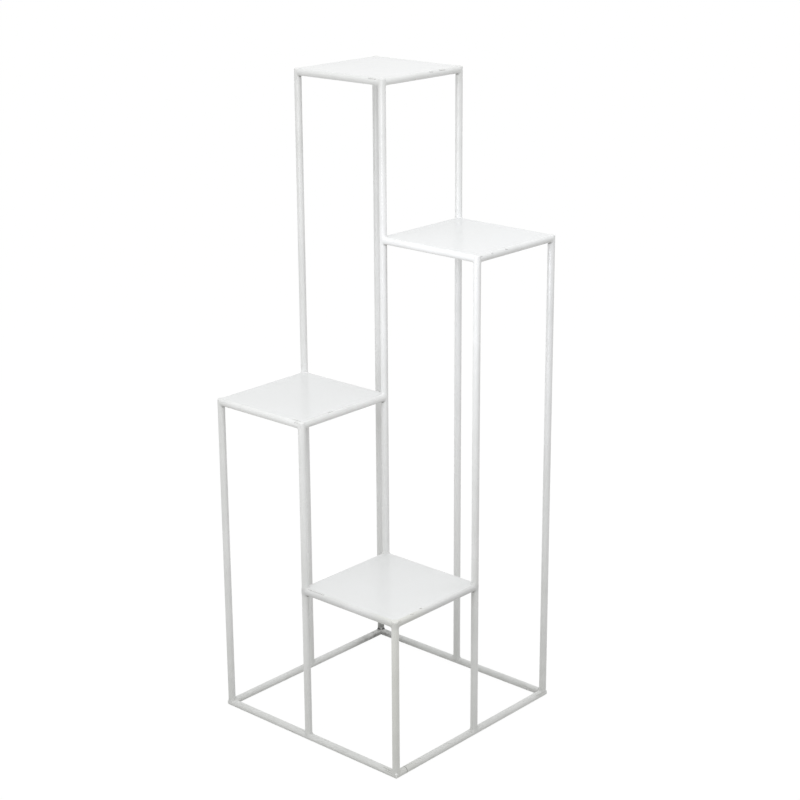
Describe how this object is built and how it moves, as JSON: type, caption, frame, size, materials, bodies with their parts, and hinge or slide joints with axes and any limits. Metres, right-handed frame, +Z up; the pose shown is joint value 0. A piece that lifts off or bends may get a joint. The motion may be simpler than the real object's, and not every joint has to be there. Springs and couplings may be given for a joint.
{
  "type": "tiered plant stand",
  "caption": "Welded round-tube plant stand whose square tiers climb in steps round a shared grid of posts, each tier a flat plate in a tube rim for a flower pot.",
  "frame": {"origin": "on the floor under the middle of the square base", "axes": "+Z up; +X along the base's front left side, from its left corner to its front corner; +Y along the front right side, from its front corner to its right corner, so that the front corner is at +X, -Y"},
  "size_m": [0.392, 0.392, 1.071],
  "materials": {
    "tube_paint": "satin white powder coat on steel tube",
    "plate_paint": "satin white powder coat on steel sheet",
    "weld_paint": "satin white powder coat over ground weld"
  },
  "bodies": {
    "root": {"front_left_base_rail": "tube_paint", "front_right_base_rail": "tube_paint", "back_right_base_rail": "tube_paint", "back_left_base_rail": "tube_paint", "left_corner_post": "tube_paint", "front_corner_post": "tube_paint", "right_corner_post": "tube_paint", "back_corner_post": "tube_paint", "front_left_middle_post": "tube_paint", "front_right_middle_post": "tube_paint", "back_right_middle_post": "tube_paint", "back_left_middle_post": "tube_paint", "centre_post": "tube_paint", "bottom_tier_front_left_rail": "tube_paint", "bottom_tier_front_right_rail": "tube_paint", "bottom_tier_back_right_rail": "tube_paint", "bottom_tier_back_left_rail": "tube_paint", "bottom_tier_plate": "plate_paint", "lower_tier_front_left_rail": "tube_paint", "lower_tier_front_right_rail": "tube_paint", "lower_tier_back_right_rail": "tube_paint", "lower_tier_back_left_rail": "tube_paint", "lower_tier_plate": "plate_paint", "upper_tier_front_left_rail": "tube_paint", "upper_tier_front_right_rail": "tube_paint", "upper_tier_back_right_rail": "tube_paint", "upper_tier_back_left_rail": "tube_paint", "upper_tier_plate": "plate_paint", "top_tier_front_left_rail": "tube_paint", "top_tier_front_right_rail": "tube_paint", "top_tier_back_right_rail": "tube_paint", "top_tier_back_left_rail": "tube_paint", "top_tier_plate": "plate_paint", "corner_post_foot_welds": "weld_paint", "middle_post_foot_welds": "weld_paint"}
  },
  "joints": []
}
